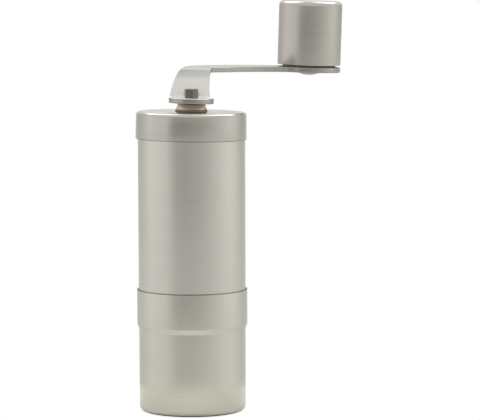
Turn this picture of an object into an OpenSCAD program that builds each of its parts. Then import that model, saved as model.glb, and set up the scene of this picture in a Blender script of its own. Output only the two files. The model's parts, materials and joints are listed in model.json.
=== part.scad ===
// Hand crank coffee grinder: a steel tube with a conical burr set in its lower end, a cup that
// slides over that end, a cap lid with a collar, and a lift-off crank on the shaft's hex end.
// Millimetres, +Z up. The origin is the middle of the cup's underside, on the shaft's axis.

/* [Body tube] */
// Outside diameter of the tube
tube_d = 48; // [44:0.5:54]
// Wall of the tube
tube_wall = 0.8; // [0.6:0.1:1.2]
// Length of the tube
tube_len = 93.3; // [88:0.1:120]

/* [Catch cup] */
// Wall of the cup
cup_wall = 0.7; // [0.5:0.1:1]
// Thickness of the cup's floor
cup_floor = 0.9; // [0.6:0.1:2]
// Height of the cup
cup_h = 55; // [50:0.5:70]
// Height of the inner shoulder that the tube stands on
cup_shoulder_h = 40; // [38:0.5:44]
// How far the wall steps in below the shoulder
cup_step_w = 0.85; // [0.6:0.05:1.2]
// Height of the sloped step outside
cup_step_h = 1.1; // [0.6:0.1:2]
// Radius of the rounded edge at the floor
cup_corner_r = 2.4; // [1.5:0.1:4]
// Running clearance between the cup and the tube
cup_fit = 0.05; // [0.02:0.01:0.1]

/* [Lid] */
// Wall of the lid
lid_wall = 0.7; // [0.5:0.1:1]
// Height of the lid
lid_h = 11.6; // [8:0.2:16]
// Radius of the lid's rounded top edge
lid_edge_r = 1.1; // [0.8:0.1:2]
// Running clearance between the lid and the tube
lid_fit = 0.05; // [0.02:0.01:0.1]

/* [Lid collar] */
// Diameter of the collar at its top
collar_top_d = 12.7; // [12:0.1:15]
// Diameter of the collar's flange on the lid
collar_flange_d = 14.5; // [14:0.1:18]
// Thickness of that flange
collar_flange_h = 1.3; // [0.8:0.1:2]
// Height of the collar above the lid
collar_h = 3.75; // [3.5:0.05:7]
// Diameter of the threaded neck through the lid
collar_neck_d = 10.6; // [10:0.1:11.4]
// Depth of the groove turned above the flange
collar_groove = 0.3; // [0.2:0.05:0.5]
// Chamfer around the collar's top
collar_edge = 0.35; // [0.2:0.05:0.5]
// Width across the flats of the nut under the lid
collar_nut_af = 14; // [13:0.5:18]
// Thickness of the nut under the lid
collar_nut_h = 2.4; // [1.5:0.1:4]

/* [Drive shaft] */
// Diameter of the shaft
shaft_d = 8; // [7:0.1:8.4]
// Running clearance around the shaft
shaft_fit = 0.05; // [0.02:0.01:0.1]
// Width across the flats of the hex end
hex_af = 5.8; // [5:0.1:6]
// Height of the hex end above its shoulder
hex_len = 6.5; // [4:0.1:8]
// Turn of the hex from a corner at the front
hex_turn = 6; // [0:1:30]
// Clearance on each flat of the hex in the crank
hex_fit = 0.08; // [0.06:0.01:0.1]
// Chamfer on the shaft's ends
shaft_chamfer = 0.4; // [0.2:0.1:0.8]
// Width across the two flats that turn the burr
flats_w = 6.2; // [5.6:0.1:6.6]
// Length of shaft left below the adjuster nut
shaft_tail = 2.5; // [1:0.5:5]
// Gap between the crank's seat and the lid's collar
seat_gap = 0.3; // [0.3:0.1:1]

/* [Bearings] */
// Depth of the upper hub below the tube's top edge
spider_drop = 21.3; // [16:0.1:30]
// Height of the upper spider's ring
spider_ring_h = 6; // [4:0.5:8]
// Thickness of the upper spider's ring
spider_ring_t = 1; // [0.8:0.1:2]
// Width of the upper spider's arms
spider_arm_w = 3; // [2:0.5:5]
// Height of the upper spider's arms
spider_arm_h = 4; // [3:0.5:5]
// Length of the upper hub
upper_hub_len = 10; // [8:0.5:14]
// Length of the lower hub
lower_hub_len = 8; // [6:0.5:12]
// Wall of both hubs
hub_wall = 1.5; // [1.2:0.1:3]
// Wall of both bushes
bush_wall = 1.45; // [1:0.05:2]
// Thickness of the flange on both bushes
bush_flange_t = 1; // [0.6:0.1:2]
// How far a bush's flange stands out from its barrel
bush_flange_w = 1.5; // [1:0.1:2]
// Fixed clearance of pieces pressed or dropped into a seat
seat_fit = 0.02; // [0.01:0.01:0.05]
// Thickness of the thrust washer
thrust_washer_t = 0.6; // [0.4:0.1:1]
// Thickness of the retaining clip
clip_t = 0.8; // [0.6:0.1:1.2]
// Depth of the clip's groove in the shaft
clip_groove = 0.6; // [0.4:0.1:0.8]
// How far the clip and washer stand out from the shaft
clip_w = 2.2; // [1.5:0.1:3]

/* [Burr set] */
// Largest diameter of the cone burr
cone_d = 27.4; // [25:0.2:28]
// Diameter of the cone burr at its top
cone_top_d = 12.4; // [12:0.2:16]
// Height of the cone burr
cone_h = 18; // [15:0.5:20]
// Height of the plain rim at the cone burr's foot
cone_rim_h = 1; // [0.5:0.1:2]
// Number of teeth on the cone burr
cone_teeth = 14; // [10:1:18]
// Depth of the cone burr's grooves
cone_tooth = 0.9; // [0.5:0.1:1.2]
// Slant of the teeth on both burrs
tooth_slant = 22; // [10:1:30]
// Outside diameter of the ring burr
ring_d = 34; // [33:0.5:35]
// Height of the ring burr
ring_h = 15; // [12:0.5:16]
// Height of the grinding zone at the ring burr's foot
ring_zone_h = 3.2; // [2:0.2:5]
// How far the ring burr's mouth flares
ring_flare = 0.8; // [0.4:0.1:1.5]
// Number of teeth in the ring burr
ring_teeth = 16; // [12:1:20]
// Depth of the ring burr's grooves
ring_tooth = 0.7; // [0.4:0.1:1]
// Height of the ring burr's foot above the cone burr's foot
ring_lift = 2; // [1.5:0.1:3]
// Radial gap between the burrs at rest
burr_gap = 0.6; // [0.55:0.05:1]

/* [Burr carrier] */
// Height of the carrier's foot above the tube's lower end
carrier_inset = 1; // [0:0.1:3]
// Thickness of the carrier's upper rim
carrier_rim = 1.5; // [1.2:0.1:2.5]
// Width of the carrier's arms
carrier_arm_w = 3.5; // [2.5:0.5:5]
// Height of the throat above the ring burr
throat_h = 1.5; // [1:0.1:3]
// Depth of the funnel's upper edge below the arms
funnel_drop = 0.6; // [0.3:0.1:2]
// Thickness of the retaining ring
retainer_t = 3; // [2:0.1:4]
// Depth of the retaining ring inside the carrier's foot
retainer_inset = 1; // [0.5:0.1:2]
// Clearance of the grounds' outlet around the cone burr
outlet_clear = 1.5; // [1:0.1:2]
// Number of retaining screws
screw_count = 3; // [3:1:6]
// Thread diameter of the screws
screw_d = 2.5; // [2:0.1:3]
// Head diameter of the screws
screw_head_d = 4.6; // [4:0.1:5]
// Length of the screws
screw_len = 9; // [6:0.5:12]
// Width of the drive slot in the screws
screw_slot = 0.6; // [0.4:0.1:0.8]

/* [Adjuster] */
// Free length of the spring between its seats
spring_len = 7.5; // [6:0.5:12]
// Wire diameter of the spring
spring_wire = 1; // [0.8:0.1:1.2]
// Mean diameter of the spring's coils
spring_d = 11; // [10.6:0.1:11.6]
// Number of coils
spring_turns = 4; // [3:1:5]
// Thickness of the spring's washer
spring_washer_t = 0.5; // [0.4:0.1:1]
// Diameter of the driver under the cone burr
driver_d = 18; // [17:0.5:22]
// Thickness of the driver
driver_t = 3.2; // [2.5:0.1:5]
// Width of the driver's lugs
lug_w = 3; // [2:0.1:4]
// Height of the driver's lugs
lug_h = 1.5; // [1:0.1:2.5]
// Clearance of the lugs in the cone burr's slots
lug_fit = 0.1; // [0.05:0.05:0.2]
// Diameter of the detent plate
detent_d = 17; // [16.5:0.5:20]
// Thickness of the detent plate
detent_t = 0.8; // [0.6:0.1:1.2]
// Radius of the circle of detent bumps
detent_ring_r = 6.5; // [6.3:0.1:7]
// Radius of each detent bump
detent_bump_r = 0.5; // [0.3:0.1:0.6]
// Diameter of the adjuster nut
nut_d = 20; // [19:0.5:24]
// Thickness of the adjuster nut
nut_h = 7; // [5:0.5:9]
// Number of finger scallops on the nut
nut_scallops = 9; // [6:1:12]
// Radius of each scallop
scallop_r = 2.4; // [1.5:0.1:3]
// Depth of each scallop
scallop_depth = 1; // [0.5:0.1:1.5]
// Number of clicks in one turn
clicks = 12; // [8:1:18]

/* [Crank] */
// Thickness of the crank's plate
plate_t = 2.3; // [1.8:0.05:3]
// Diameter of the round foot on the shaft
foot_d = 20.3; // [18:0.1:24]
// Rise from the foot to the arm
riser_h = 13.4; // [9:0.1:18]
// Backward lean of the riser
riser_lean = 12; // [5:1:20]
// Inside radius of the lower fold
fold_r = 0.8; // [0.5:0.1:1.5]
// Inside radius of the upper fold
upper_fold_r = 2; // [0.5:0.1:2.5]
// Distance of the lower fold from the shaft's axis
fold_y = 3.9; // [3.8:0.1:5]
// How far the riser's left edge stands in from the foot's rim
riser_inset = 0.25; // [0:0.05:1.5]
// Left edge of the riser where the upper fold starts, from the shaft's axis
riser_left_bend = 6.9; // [5:0.1:8]
// Left edge of the arm behind the upper fold, from the shaft's axis
arm_left = 4.7; // [3:0.1:6]
// Right edge of the riser, from the shaft's axis
riser_right = 8.05; // [7:0.05:9]
// How much wider the riser's right edge is at its foot
riser_flare = 0.3; // [0:0.1:1]
// Radius in the corner between the riser and the arm
corner_r = 2.5; // [2:0.1:4]
// Distance from the shaft to the knob
crank_radius = 72; // [65:0.5:90]
// Direction of the knob seen from above
crank_dir = 42.4; // [38:0.1:47]
// Width of the arm
arm_w = 19; // [15:0.5:22]
// Sideways bow of the arm
arm_bow = 8; // [4:0.5:12]
// Diameter of the pad under the knob
pad_d = 29.2; // [24:0.2:32]
// Lean of the crank towards the knob, within the play of its socket
crank_lean = 1.9; // [0:0.1:2]

/* [Knob] */
// Diameter of the knob
knob_d = 29.2; // [24:0.2:32]
// Height of the knob
knob_h = 30.3; // [24:0.1:40]
// Wall of the knob's shell
knob_wall = 0.8; // [0.6:0.1:1.2]
// Radius of the knob's rounded top edge
knob_edge_r = 1.3; // [1:0.1:3]
// Gap under the shell's top, above the core
knob_top_gap = 0.4; // [0.3:0.1:1]
// Diameter of the knob's pin
pin_d = 6; // [5:0.1:7]
// Running clearance around the pin
pin_fit = 0.05; // [0.02:0.01:0.1]
// Diameter of the pin's rivet head
pin_head_d = 9; // [8:0.1:12]
// Height of the pin's rivet head
pin_head_h = 1; // [0.8:0.1:1.5]
// Gap from the pin's upper end to the shell's top
pin_top_gap = 3.5; // [2:0.1:6]
// Diameter of the washer under the knob
knob_washer_d = 24.5; // [14:0.5:25]
// Thickness of the washer under the knob
knob_washer_t = 1; // [0.8:0.1:1.5]
// Diameter of the clip's pocket in the core
pocket_d = 13; // [12:0.5:16]
// Distance from the clip's groove to the pin's end
pin_tail = 1.2; // [0.8:0.1:2]

/* [Hidden] */
$fn = 96;

steel = [0.76, 0.75, 0.73];
dark_steel = [0.55, 0.54, 0.53];
bronze = [0.48, 0.37, 0.27];
black_plastic = [0.12, 0.12, 0.12];
white_plastic = [0.88, 0.87, 0.84];
ceramic = [0.93, 0.92, 0.89];

cut = 1;                                  // how far a cutter reaches past what it cuts
lap = 0.05;                               // overlap of two stretches of one plate
edge_steps = 6;                           // straight pieces in a rounded edge

tube_r = tube_d / 2;
tube_in_r = tube_r - tube_wall;
band_in_r = tube_r + cup_fit;
band_r = band_in_r + cup_wall;
cup_low_r = band_r - cup_step_w;
cup_low_in_r = cup_low_r - cup_wall;
tube_z0 = cup_shoulder_h;
tube_z1 = tube_z0 + tube_len;

lid_in_r = tube_r + lid_fit;
lid_r = lid_in_r + lid_wall;
lid_z1 = tube_z1 + lid_wall;
lid_z0 = lid_z1 - lid_h;
collar_z1 = lid_z1 + collar_h;

shaft_r = shaft_d / 2;
bore_r = shaft_r + shaft_fit;
seat_z = collar_z1 + seat_gap;
hex_z1 = seat_z + hex_len;
bush_r = bore_r + bush_wall;
flange_r = bush_r + bush_flange_w;
hub_r = bush_r + seat_fit + hub_wall;
clip_r = shaft_r + clip_w;
groove_r = shaft_r - clip_groove;

spider_z1 = tube_z1 - spider_drop;
clip_z0 = spider_z1 + bush_flange_t + thrust_washer_t;

carrier_z0 = tube_z0 + carrier_inset;
carrier_r = tube_in_r - seat_fit;
retainer_z0 = carrier_z0 + retainer_inset;
ring_z0 = retainer_z0 + retainer_t;
ring_z1 = ring_z0 + ring_h;
ring_r = ring_d / 2;
cone_z0 = ring_z0 - ring_lift;
cone_z1 = cone_z0 + cone_h;
cone_r = cone_d / 2;
cone_top_r = cone_top_d / 2;
spring_z1 = cone_z1 + spring_len;
lower_flange_z0 = spring_z1 + spring_washer_t;
lower_hub_z0 = lower_flange_z0 + bush_flange_t;
carrier_z1 = lower_hub_z0 + lower_hub_len;
driver_z0 = cone_z0 - driver_t;
detent_z0 = driver_z0 - detent_t;
nut_z0 = detent_z0 - nut_h;
shaft_z0 = nut_z0 - shaft_tail;
flats_z1 = cone_z1;
hex_corner_r = hex_af / 2 / cos(30);
socket_corner_r = (hex_af / 2 + hex_fit) / cos(30);

// Radius of the cone burr at a height above its foot
function cone_at(h) =
    cone_r - max(0, h - cone_rim_h) * (cone_r - cone_top_r) / (cone_h - cone_rim_h);
ring_foot_r = cone_at(ring_lift) + burr_gap;
ring_waist_r = cone_at(ring_lift + ring_zone_h) + burr_gap;
ring_mouth_r = ring_waist_r + ring_flare;
outlet_r = cone_r + outlet_clear;
retainer_r = carrier_r - carrier_rim / 2;
screw_ring_r = (ring_r + retainer_r) / 2;

crank_z0 = seat_z + shaft_r * tan(crank_lean);
foot_r = foot_d / 2;
arm_z1 = riser_h + plate_t;
riser_left = foot_r - riser_inset;
corner_end = 107;                         // angle at which the inner corner meets the arm's underside
arm_right = riser_right + corner_r * (1 + cos(corner_end));
widening = 0.25;                          // share of the arm's length over which it reaches its width
pad_pos = crank_radius * [cos(crank_dir), sin(crank_dir)];
fold_out_r = fold_r + plate_t;
riser_len = (riser_h - (upper_fold_r + fold_out_r) * (1 - sin(riser_lean))) / cos(riser_lean);
upper_fold_y = fold_y + (upper_fold_r + fold_out_r) * cos(riser_lean) + riser_len * sin(riser_lean);

pin_r = pin_d / 2;
knob_r = knob_d / 2;
knob_z0 = arm_z1 + knob_washer_t;
core_r = knob_r - knob_wall - seat_fit;
core_h = knob_h - knob_wall - knob_top_gap;
pin_z1 = knob_z0 + knob_h - knob_wall - pin_top_gap;
pin_groove_z0 = pin_z1 - pin_tail - clip_t;
pin_clip_r = pin_r + clip_w;

// Points of an arc about a centre, from one angle to another
function arc(centre, r, from, to, steps = edge_steps) =
    [for (i = [0:steps]) let (a = from + (to - from) * i / steps) centre + r * [cos(a), sin(a)]];

// Flat ring from one height to another
module washer(r_out, r_in, z0, h) {
    translate([0, 0, z0]) difference() {
        cylinder(r = r_out, h = h);
        translate([0, 0, -cut]) cylinder(r = r_in, h = h + 2 * cut);
    }
}

// Hole with the shaft's two flats, with running clearance
module flats_hole(z0, h) {
    translate([0, 0, z0]) intersection() {
        cylinder(r = bore_r, h = h);
        translate([-flats_w / 2 - shaft_fit, -shaft_d, 0]) cube([flats_w + 2 * shaft_fit, 2 * shaft_d, h]);
    }
}

// ---- Cup, tube and lid

// Drawn steel cup: rounded floor edge, step, and a wider band that slides over the tube
module catch_cup() {
    color(steel) rotate_extrude() polygon(concat(
        [[0, 0]],
        arc([cup_low_r - cup_corner_r, cup_corner_r], cup_corner_r, -90, 0),
        [
            [cup_low_r, tube_z0 - cup_wall - cup_step_h],
            [band_r, tube_z0 - cup_wall],
            [band_r, cup_h],
            [band_in_r, cup_h],
            [band_in_r, tube_z0],
            [cup_low_in_r, tube_z0]
        ],
        arc([cup_low_r - cup_corner_r, cup_floor + cup_corner_r - cup_wall], cup_corner_r - cup_wall, 0, -90),
        [[0, cup_floor]]
    ));
}

module body_tube() {
    color(steel) washer(tube_r, tube_in_r, tube_z0, tube_len);
}

// Cap over the tube's top, with a hole for the collar's neck
module lid() {
    neck_hole_r = collar_neck_d / 2 + seat_fit;
    color(steel) rotate_extrude() polygon(concat(
        [[neck_hole_r, tube_z1], [lid_in_r, tube_z1], [lid_in_r, lid_z0], [lid_r, lid_z0]],
        arc([lid_r - lid_edge_r, lid_z1 - lid_edge_r], lid_edge_r, 0, 90),
        [[neck_hole_r, lid_z1]]
    ));
}

// Turned collar: neck through the lid, flange, and a cone above it with a groove at the cone's foot
module lid_collar() {
    flange_r1 = collar_flange_d / 2;
    groove_z = lid_z1 + collar_flange_h;
    color(bronze) rotate_extrude() polygon([
        [bore_r, tube_z1 - collar_nut_h],
        [collar_neck_d / 2, tube_z1 - collar_nut_h],
        [collar_neck_d / 2, lid_z1],
        [flange_r1, lid_z1],
        [flange_r1, groove_z],
        [flange_r1 - collar_groove, groove_z],
        [flange_r1 - collar_groove, groove_z + collar_groove],
        [collar_top_d / 2, collar_z1 - collar_edge],
        [collar_top_d / 2 - collar_edge, collar_z1],
        [bore_r, collar_z1]
    ]);
}

// Thin hexagonal nut that holds the collar from inside the lid
module collar_nut() {
    color(dark_steel) translate([0, 0, tube_z1 - collar_nut_h]) difference() {
        cylinder(d = collar_nut_af / cos(30), h = collar_nut_h, $fn = 6);
        translate([0, 0, -cut]) cylinder(r = collar_neck_d / 2 + seat_fit, h = collar_nut_h + 2 * cut);
    }
}

// ---- Shaft and its bearings

// Round shaft with a hex top, a clip groove, and two flats down to its threaded end
module drive_shaft() {
    color(steel) {
        difference() {
            rotate_extrude() polygon([
                [0, shaft_z0],
                [shaft_r - shaft_chamfer, shaft_z0],
                [shaft_r, shaft_z0 + shaft_chamfer],
                [shaft_r, clip_z0],
                [groove_r, clip_z0],
                [groove_r, clip_z0 + clip_t],
                [shaft_r, clip_z0 + clip_t],
                [shaft_r, seat_z],
                [0, seat_z]
            ]);
            for (side = [-1, 1])
                translate([side * (flats_w / 2 + shaft_r) - shaft_r, -shaft_d, shaft_z0 - cut])
                    cube([shaft_d, 2 * shaft_d, flats_z1 - shaft_z0 + cut]);
        }
        rotate([0, 0, hex_turn - 90]) translate([0, 0, seat_z - lap]) intersection() {
            cylinder(r = hex_corner_r, h = hex_len + lap, $fn = 6);
            cylinder(
                r1 = hex_corner_r - shaft_chamfer + hex_len + lap, r2 = hex_corner_r - shaft_chamfer,
                h = hex_len + lap
            );
        }
    }
}

// Ring pressed into the tube, with three arms and the upper hub
module bearing_spider() {
    ring_r1 = tube_in_r - seat_fit;
    color(dark_steel) difference() {
        union() {
            washer(ring_r1, ring_r1 - spider_ring_t, spider_z1 - spider_ring_h, spider_ring_h);
            translate([0, 0, spider_z1 - upper_hub_len]) cylinder(r = hub_r, h = upper_hub_len);
            for (a = [90, 210, 330]) rotate([0, 0, a])
                translate([0, -spider_arm_w / 2, spider_z1 - spider_arm_h])
                    cube([ring_r1 - spider_ring_t / 2, spider_arm_w, spider_arm_h]);
        }
        translate([0, 0, spider_z1 - upper_hub_len - cut])
            cylinder(r = bush_r + seat_fit, h = upper_hub_len + 2 * cut);
    }
}

// Flanged bush, flange up, from the hub's top face down through it
module upper_bush() {
    color(white_plastic) difference() {
        union() {
            translate([0, 0, spider_z1 - upper_hub_len]) cylinder(r = bush_r, h = upper_hub_len);
            translate([0, 0, spider_z1]) cylinder(r = flange_r, h = bush_flange_t);
        }
        translate([0, 0, spider_z1 - upper_hub_len - cut])
            cylinder(r = bore_r, h = upper_hub_len + bush_flange_t + 2 * cut);
    }
}

module shaft_washer() {
    color(steel) washer(clip_r, bore_r, spider_z1 + bush_flange_t, thrust_washer_t);
}

// Open retaining clip that snaps into a groove
module clip(r_out, r_in, z0) {
    clip_mouth = r_in * 1.4;
    color(dark_steel) difference() {
        washer(r_out, r_in + seat_fit, z0, clip_t);
        translate([0, -clip_mouth / 2, z0 - cut]) cube([r_out + cut, clip_mouth, clip_t + 2 * cut]);
    }
}

module shaft_clip() {
    clip(clip_r, groove_r, clip_z0);
}

// Flanged bush, flange down, in the carrier's hub
module lower_bush() {
    color(white_plastic) difference() {
        union() {
            translate([0, 0, lower_hub_z0]) cylinder(r = bush_r, h = lower_hub_len);
            translate([0, 0, lower_flange_z0]) cylinder(r = flange_r, h = bush_flange_t);
        }
        translate([0, 0, lower_flange_z0 - cut])
            cylinder(r = bore_r, h = lower_hub_len + bush_flange_t + 2 * cut);
    }
}

// ---- Burr set

// Moulded funnel with a pocket for the ring burr below and three arms with a hub above
module burr_carrier() {
    rim_in_r = carrier_r - carrier_rim;
    pocket_r = ring_r + seat_fit;
    color(black_plastic) difference() {
        union() {
            rotate_extrude() polygon([
                [carrier_r, carrier_z0],
                [carrier_r, carrier_z1],
                [rim_in_r, carrier_z1],
                [rim_in_r, lower_hub_z0 - funnel_drop],
                [ring_mouth_r, ring_z1 + throat_h],
                [ring_mouth_r, ring_z1],
                [pocket_r, ring_z1],
                [pocket_r, ring_z0],
                [retainer_r + seat_fit, ring_z0],
                [retainer_r + seat_fit, carrier_z0]
            ]);
            translate([0, 0, lower_hub_z0]) cylinder(r = hub_r, h = lower_hub_len);
            for (a = [30, 150, 270]) rotate([0, 0, a])
                translate([0, -carrier_arm_w / 2, lower_hub_z0])
                    cube([carrier_r - carrier_rim / 2, carrier_arm_w, lower_hub_len]);
        }
        translate([0, 0, lower_hub_z0 - cut])
            cylinder(r = bush_r + seat_fit, h = lower_hub_len + 2 * cut);
        for (i = [0:screw_count - 1]) rotate([0, 0, i * 360 / screw_count])
            translate([screw_ring_r, 0, ring_z0 - cut])
                cylinder(d = screw_d + 2 * seat_fit, h = screw_len - retainer_t + 2 * cut);
    }
}

// Fixed ceramic burr: grinding zone parallel to the cone, then a flaring mouth, with slanted grooves
module ring_burr() {
    color(ceramic) difference() {
        rotate_extrude() polygon([
            [ring_foot_r, ring_z0],
            [ring_r, ring_z0],
            [ring_r, ring_z1],
            [ring_mouth_r, ring_z1],
            [ring_waist_r, ring_z0 + ring_zone_h]
        ]);
        for (i = [0:ring_teeth - 1]) rotate([0, 0, i * 360 / ring_teeth])
            translate([ring_waist_r, 0, ring_z0 + ring_h / 2]) rotate([tooth_slant, 0, 0])
                cylinder(r = ring_tooth, h = ring_h * 1.5, center = true, $fn = 3);
    }
}

// Turning ceramic burr: cone with slanted grooves, shaft hole, and slots for the driver's lugs
module cone_burr() {
    cone_slope = atan((cone_r - cone_top_r) / (cone_h - cone_rim_h));
    mid_r = (cone_r + cone_top_r) / 2;
    color(ceramic) difference() {
        translate([0, 0, cone_z0]) rotate_extrude() polygon([
            [bore_r, 0], [cone_r, 0], [cone_r, cone_rim_h], [cone_top_r, cone_h], [bore_r, cone_h]
        ]);
        for (i = [0:cone_teeth - 1]) rotate([0, 0, i * 360 / cone_teeth])
            translate([mid_r, 0, cone_z0 + cone_h / 2]) rotate([0, -cone_slope, 0])
                rotate([-tooth_slant, 0, 0]) rotate([0, 0, 180])
                    cylinder(r = cone_tooth, h = cone_h * 1.6, center = true, $fn = 3);
        translate([-driver_d / 2 - lug_fit, -lug_w / 2 - lug_fit, cone_z0 - cut])
            cube([driver_d + 2 * lug_fit, lug_w + 2 * lug_fit, lug_h + lug_fit + cut]);
    }
}

// Keyed disc that the shaft's flats turn, with two lugs up into the cone burr
module burr_driver() {
    color(black_plastic) difference() {
        union() {
            translate([0, 0, driver_z0]) cylinder(d = driver_d, h = driver_t);
            intersection() {
                translate([-driver_d / 2, -lug_w / 2, driver_z0]) cube([driver_d, lug_w, driver_t + lug_h]);
                translate([0, 0, driver_z0]) cylinder(d = driver_d, h = driver_t + lug_h);
            }
        }
        flats_hole(driver_z0 - cut, driver_t + lug_h + 2 * cut);
    }
}

// Clamp ring under the ring burr
module burr_retainer() {
    color(dark_steel) difference() {
        washer(retainer_r, outlet_r, retainer_z0, retainer_t);
        for (i = [0:screw_count - 1]) rotate([0, 0, i * 360 / screw_count])
            translate([screw_ring_r, 0, retainer_z0]) {
                translate([0, 0, -cut]) cylinder(d = screw_d + 2 * seat_fit, h = retainer_t + 2 * cut);
                translate([0, 0, -seat_fit]) cylinder(
                    d1 = screw_head_d + 2 * seat_fit, d2 = screw_d + 2 * seat_fit,
                    h = (screw_head_d - screw_d) / 2 + seat_fit
                );
            }
    }
}

// Countersunk slotted screws through the clamp ring into the carrier
module retainer_screws() {
    head_h = (screw_head_d - screw_d) / 2;
    color(steel) for (i = [0:screw_count - 1]) rotate([0, 0, i * 360 / screw_count])
        translate([screw_ring_r, 0, retainer_z0]) difference() {
            rotate_extrude() polygon([
                [0, 0], [screw_head_d / 2, 0], [screw_d / 2, head_h], [screw_d / 2, screw_len], [0, screw_len]
            ]);
            translate([-screw_head_d, -screw_slot / 2, -cut])
                cube([2 * screw_head_d, screw_slot, cut + head_h / 2]);
        }
}

module spring_washer() {
    color(steel) washer(flange_r, bore_r, spring_z1, spring_washer_t);
}

// Coil of round wire from the cone burr's top to the spring washer, swept along a helix
module burr_spring() {
    sides = 8;
    rings = 24 * spring_turns;
    rise = spring_len - spring_wire;
    points = [
        for (i = [0:rings], j = [0:sides - 1]) let (
            turn = 360 * spring_turns * i / rings,
            side = 360 * j / sides,
            r = spring_d / 2 + spring_wire / 2 * cos(side)
        ) [r * cos(turn), r * sin(turn), cone_z1 + spring_wire / 2 + rise * i / rings + spring_wire / 2 * sin(side)]
    ];
    walls = [
        for (i = [0:rings - 1], j = [0:sides - 1]) let (k = (j + 1) % sides)
            [i * sides + j, (i + 1) * sides + j, (i + 1) * sides + k, i * sides + k]
    ];
    ends = [[for (j = [0:sides - 1]) j], [for (j = [sides - 1:-1:0]) rings * sides + j]];
    color(dark_steel) polyhedron(points, concat(walls, ends));
}

// Thin plate with bumps that run in the nut's groove
module detent_plate() {
    color(steel) {
        difference() {
            translate([0, 0, detent_z0]) cylinder(d = detent_d, h = detent_t);
            flats_hole(detent_z0 - cut, detent_t + 2 * cut);
        }
        for (a = [0, 120, 240]) rotate([0, 0, a]) translate([detent_ring_r, 0, detent_z0 - detent_bump_r / 2])
            cylinder(r = detent_bump_r, h = detent_bump_r);
    }
}

// Scalloped nut with a click groove in its upper face
module adjuster_nut() {
    groove_w = detent_bump_r + 0.2;
    groove_h = detent_bump_r / 2 + 0.1;
    color(black_plastic) difference() {
        translate([0, 0, nut_z0]) cylinder(d = nut_d, h = nut_h);
        translate([0, 0, nut_z0 - cut]) cylinder(r = bore_r, h = nut_h + 2 * cut);
        for (i = [0:nut_scallops - 1]) rotate([0, 0, i * 360 / nut_scallops])
            translate([nut_d / 2 + scallop_r - scallop_depth, 0, nut_z0 - cut])
                cylinder(r = scallop_r, h = nut_h + 2 * cut);
        washer(detent_ring_r + groove_w, detent_ring_r - groove_w, detent_z0 - groove_h, groove_h + cut);
        for (i = [0:clicks - 1]) rotate([0, 0, i * 360 / clicks])
            translate([detent_ring_r, 0, detent_z0 - groove_h - detent_bump_r / 2])
                cylinder(r = detent_bump_r, h = detent_bump_r);
    }
}

// ---- Crank, in its own frame: foot on the shaft, riser behind it, arm back to the knob

// Puts a piece of the crank on the shaft's seat, leaning towards the knob by the socket's play
module on_shaft() {
    translate([0, 0, crank_z0]) rotate([0, crank_lean, 0]) children();
}

module on_pad() {
    on_shaft() translate([pad_pos[0], pad_pos[1], 0]) children();
}

// Points along the arm's edge on one side: the bowed centre line and half the arm's width
chord = pad_pos - [(riser_right - arm_left) / 2, upper_fold_y];
chord_len = norm(chord);
chord_dir = atan2(chord[1], chord[0]);
bow_r = (chord_len * chord_len / 4 + arm_bow * arm_bow) / (2 * arm_bow);
bow_angle = asin(chord_len / 2 / bow_r);
bow_centre = pad_pos - chord / 2 + (bow_r - arm_bow) * [sin(chord_dir), -cos(chord_dir)];
neck_half = (riser_right + arm_left) / 2 * sin(chord_dir + bow_angle);
function arm_half(s) =
    neck_half + (arm_w / 2 - neck_half) * (s >= widening ? 1 : sin(s / widening * 90));
function arm_edge(side, s) =
    let (a = 90 + chord_dir + bow_angle - 2 * bow_angle * s)
    bow_centre + (bow_r + side * arm_half(s)) * [cos(a), sin(a)];

// The stamped arm seen from above: from the upper fold to the round pad
module arm_outline() {
    steps = 16;
    polygon(concat(
        [[-arm_left, upper_fold_y - lap]],
        [for (i = [1:steps]) arm_edge(1, i / steps)],
        [for (i = [steps:-1:2]) arm_edge(-1, i / steps)],
        [[arm_right, upper_fold_y - lap]]
    ));
    translate(pad_pos) circle(d = pad_d);
}

// The riser seen from the front: leaning left edge, upright right edge and a rounded inner corner
module riser_outline() {
    corner_z = riser_h - corner_r - fold_r;
    polygon(concat(
        [
            [-riser_left, -cut],
            [-riser_left, plate_t / 2],
            [-riser_left_bend, riser_h],
            [-arm_left, arm_z1 - plate_t / 5],
            [-arm_left, arm_z1 + cut],
            [arm_right, arm_z1 + cut]
        ],
        arc([riser_right + corner_r, corner_z], corner_r, corner_end, 180),
        [[riser_right + riser_flare, plate_t / 2], [riser_right + riser_flare, -cut]]
    ));
}

// The folded plate seen from the side, from just before the lower fold to just after the upper one
module fold_profile() {
    low = [fold_y, fold_out_r];
    high = [upper_fold_y, riser_h - upper_fold_r];
    polygon(concat(
        [[fold_y - lap, 0]],
        arc(low, fold_out_r, -90, -riser_lean),
        arc(high, upper_fold_r, 180 - riser_lean, 90),
        [[upper_fold_y + lap, riser_h], [upper_fold_y + lap, arm_z1]],
        arc(high, upper_fold_r + plate_t, 90, 180 - riser_lean),
        arc(low, fold_r, -riser_lean, -90),
        [[fold_y - lap, plate_t]]
    ));
}

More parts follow.
